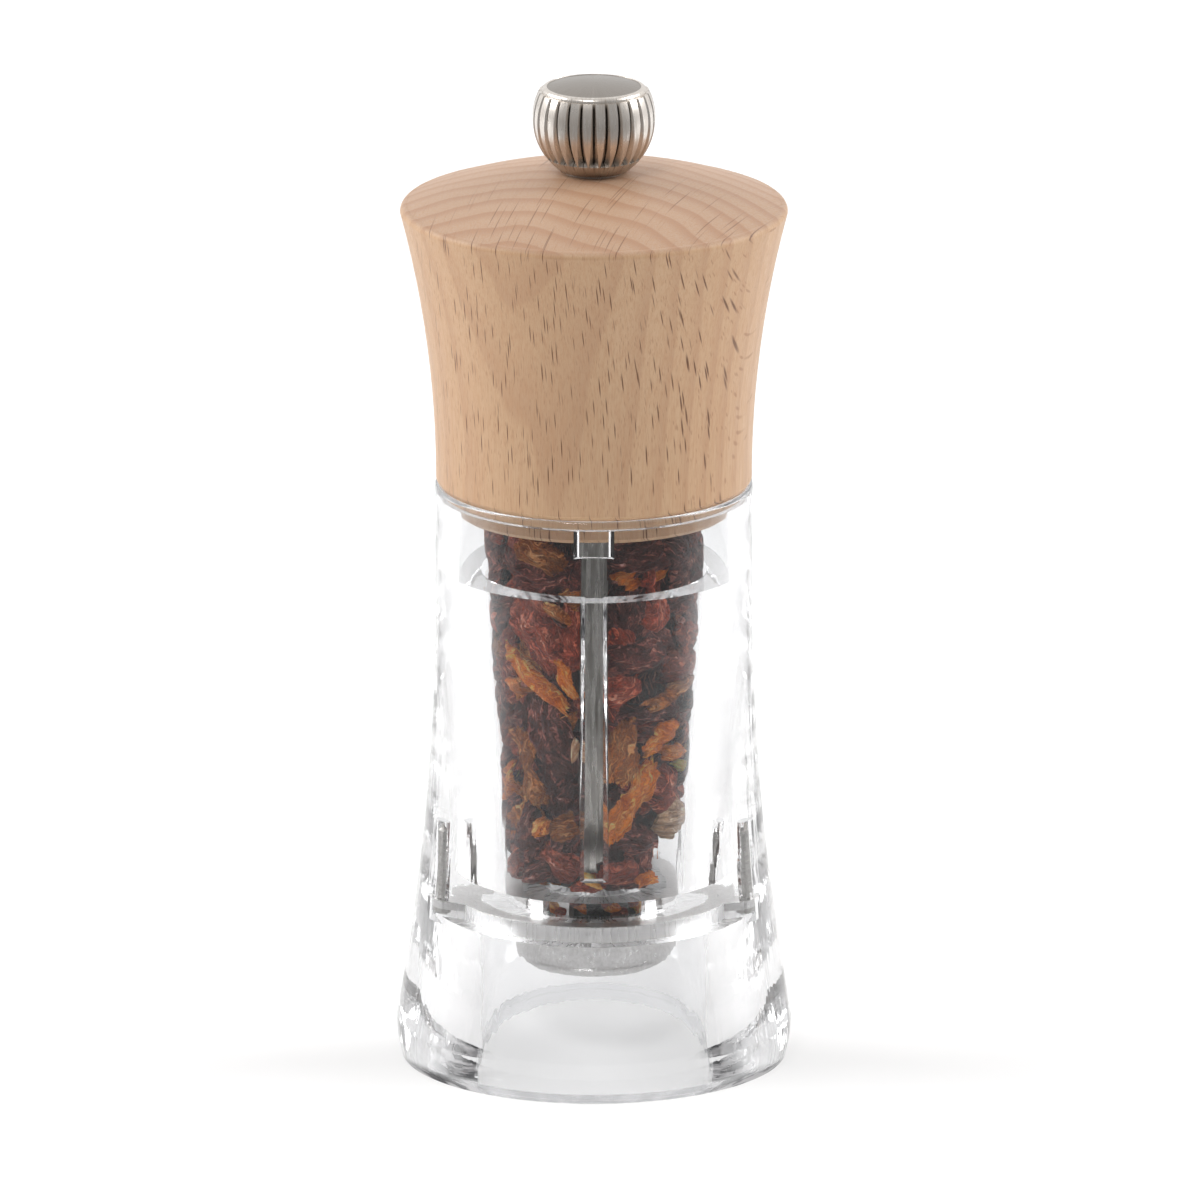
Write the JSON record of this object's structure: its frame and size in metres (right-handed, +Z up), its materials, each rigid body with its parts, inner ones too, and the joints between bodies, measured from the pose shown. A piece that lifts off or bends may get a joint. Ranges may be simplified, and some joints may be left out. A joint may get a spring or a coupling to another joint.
{
  "type": "table spice mill",
  "caption": "Standing hand mill with a clear moulded body, a turned beech head that turns the grinding cone, and a fluted knob that sets the grind.",
  "frame": {"origin": "centre of the foot's circle, on the surface that the mill stands on", "axes": "+Z up along the mill's axis; -Y is the front, the side with the groove in the chamber wall; +X is to the right seen from the front"},
  "size_m": [0.0552, 0.0552, 0.14],
  "materials": {
    "clear_acrylic": "water-clear, polished outside, as moulded inside",
    "beech": "turned beech, fine sanded, clear matt lacquer",
    "satin_nickel": "satin nickel plated, dark in the flutes",
    "brushed_stainless": "turned and brushed stainless steel",
    "pressed_steel": "pressed stainless sheet, satin",
    "hardened_steel": "case-hardened steel, dark grey",
    "screw_steel": "zinc-plated screw steel",
    "spring_steel": "drawn spring wire",
    "shaft_steel": "bright drawn square bar",
    "insert_brass": "turned brass"
  },
  "bodies": {
    "mill_body": {"acrylic_body": "clear_acrylic", "mechanism_collar": "brushed_stainless", "mounting_flange": "pressed_steel", "grinder_ring": "hardened_steel", "lower_bridge": "pressed_steel", "spring_bridge": "pressed_steel", "fixing_screws": "screw_steel"},
    "spring_seat": {"spring_washer": "pressed_steel", "spring": "spring_steel"},
    "grinding_set": {"drive_shaft": "shaft_steel", "grinding_cone": "hardened_steel", "retaining_clip": "spring_steel"},
    "head": {"wood_head": "beech", "drive_plate": "pressed_steel", "plate_screws": "screw_steel"},
    "knob": {"adjusting_knob": "satin_nickel", "knob_insert": "insert_brass"}
  },
  "joints": [
    {"name": "head_turn", "type": "hinge", "parent": "mill_body", "child": "spring_seat", "pos_m": [0, 0, 0.024], "axis": [0, 0, 1], "continuous": true},
    {"name": "grind_adjust", "type": "slide", "parent": "spring_seat", "child": "grinding_set", "axis": [0, 0, -1], "range_m": [0, 0.00105], "deforming": ["spring"]},
    {"name": "head_lift", "type": "slide", "parent": "spring_seat", "child": "head", "axis": [0, 0, 1], "range_m": [0, 0.058]},
    {"name": "knob_turn", "type": "hinge", "parent": "head", "child": "knob", "pos_m": [0, 0, 0.1349], "axis": [0, 0, 1], "range_deg": [0, 541]}
  ],
  "couplings": [
    {"joint": "knob_turn", "follows": "grind_adjust", "rad_per_m": 8976}
  ]
}
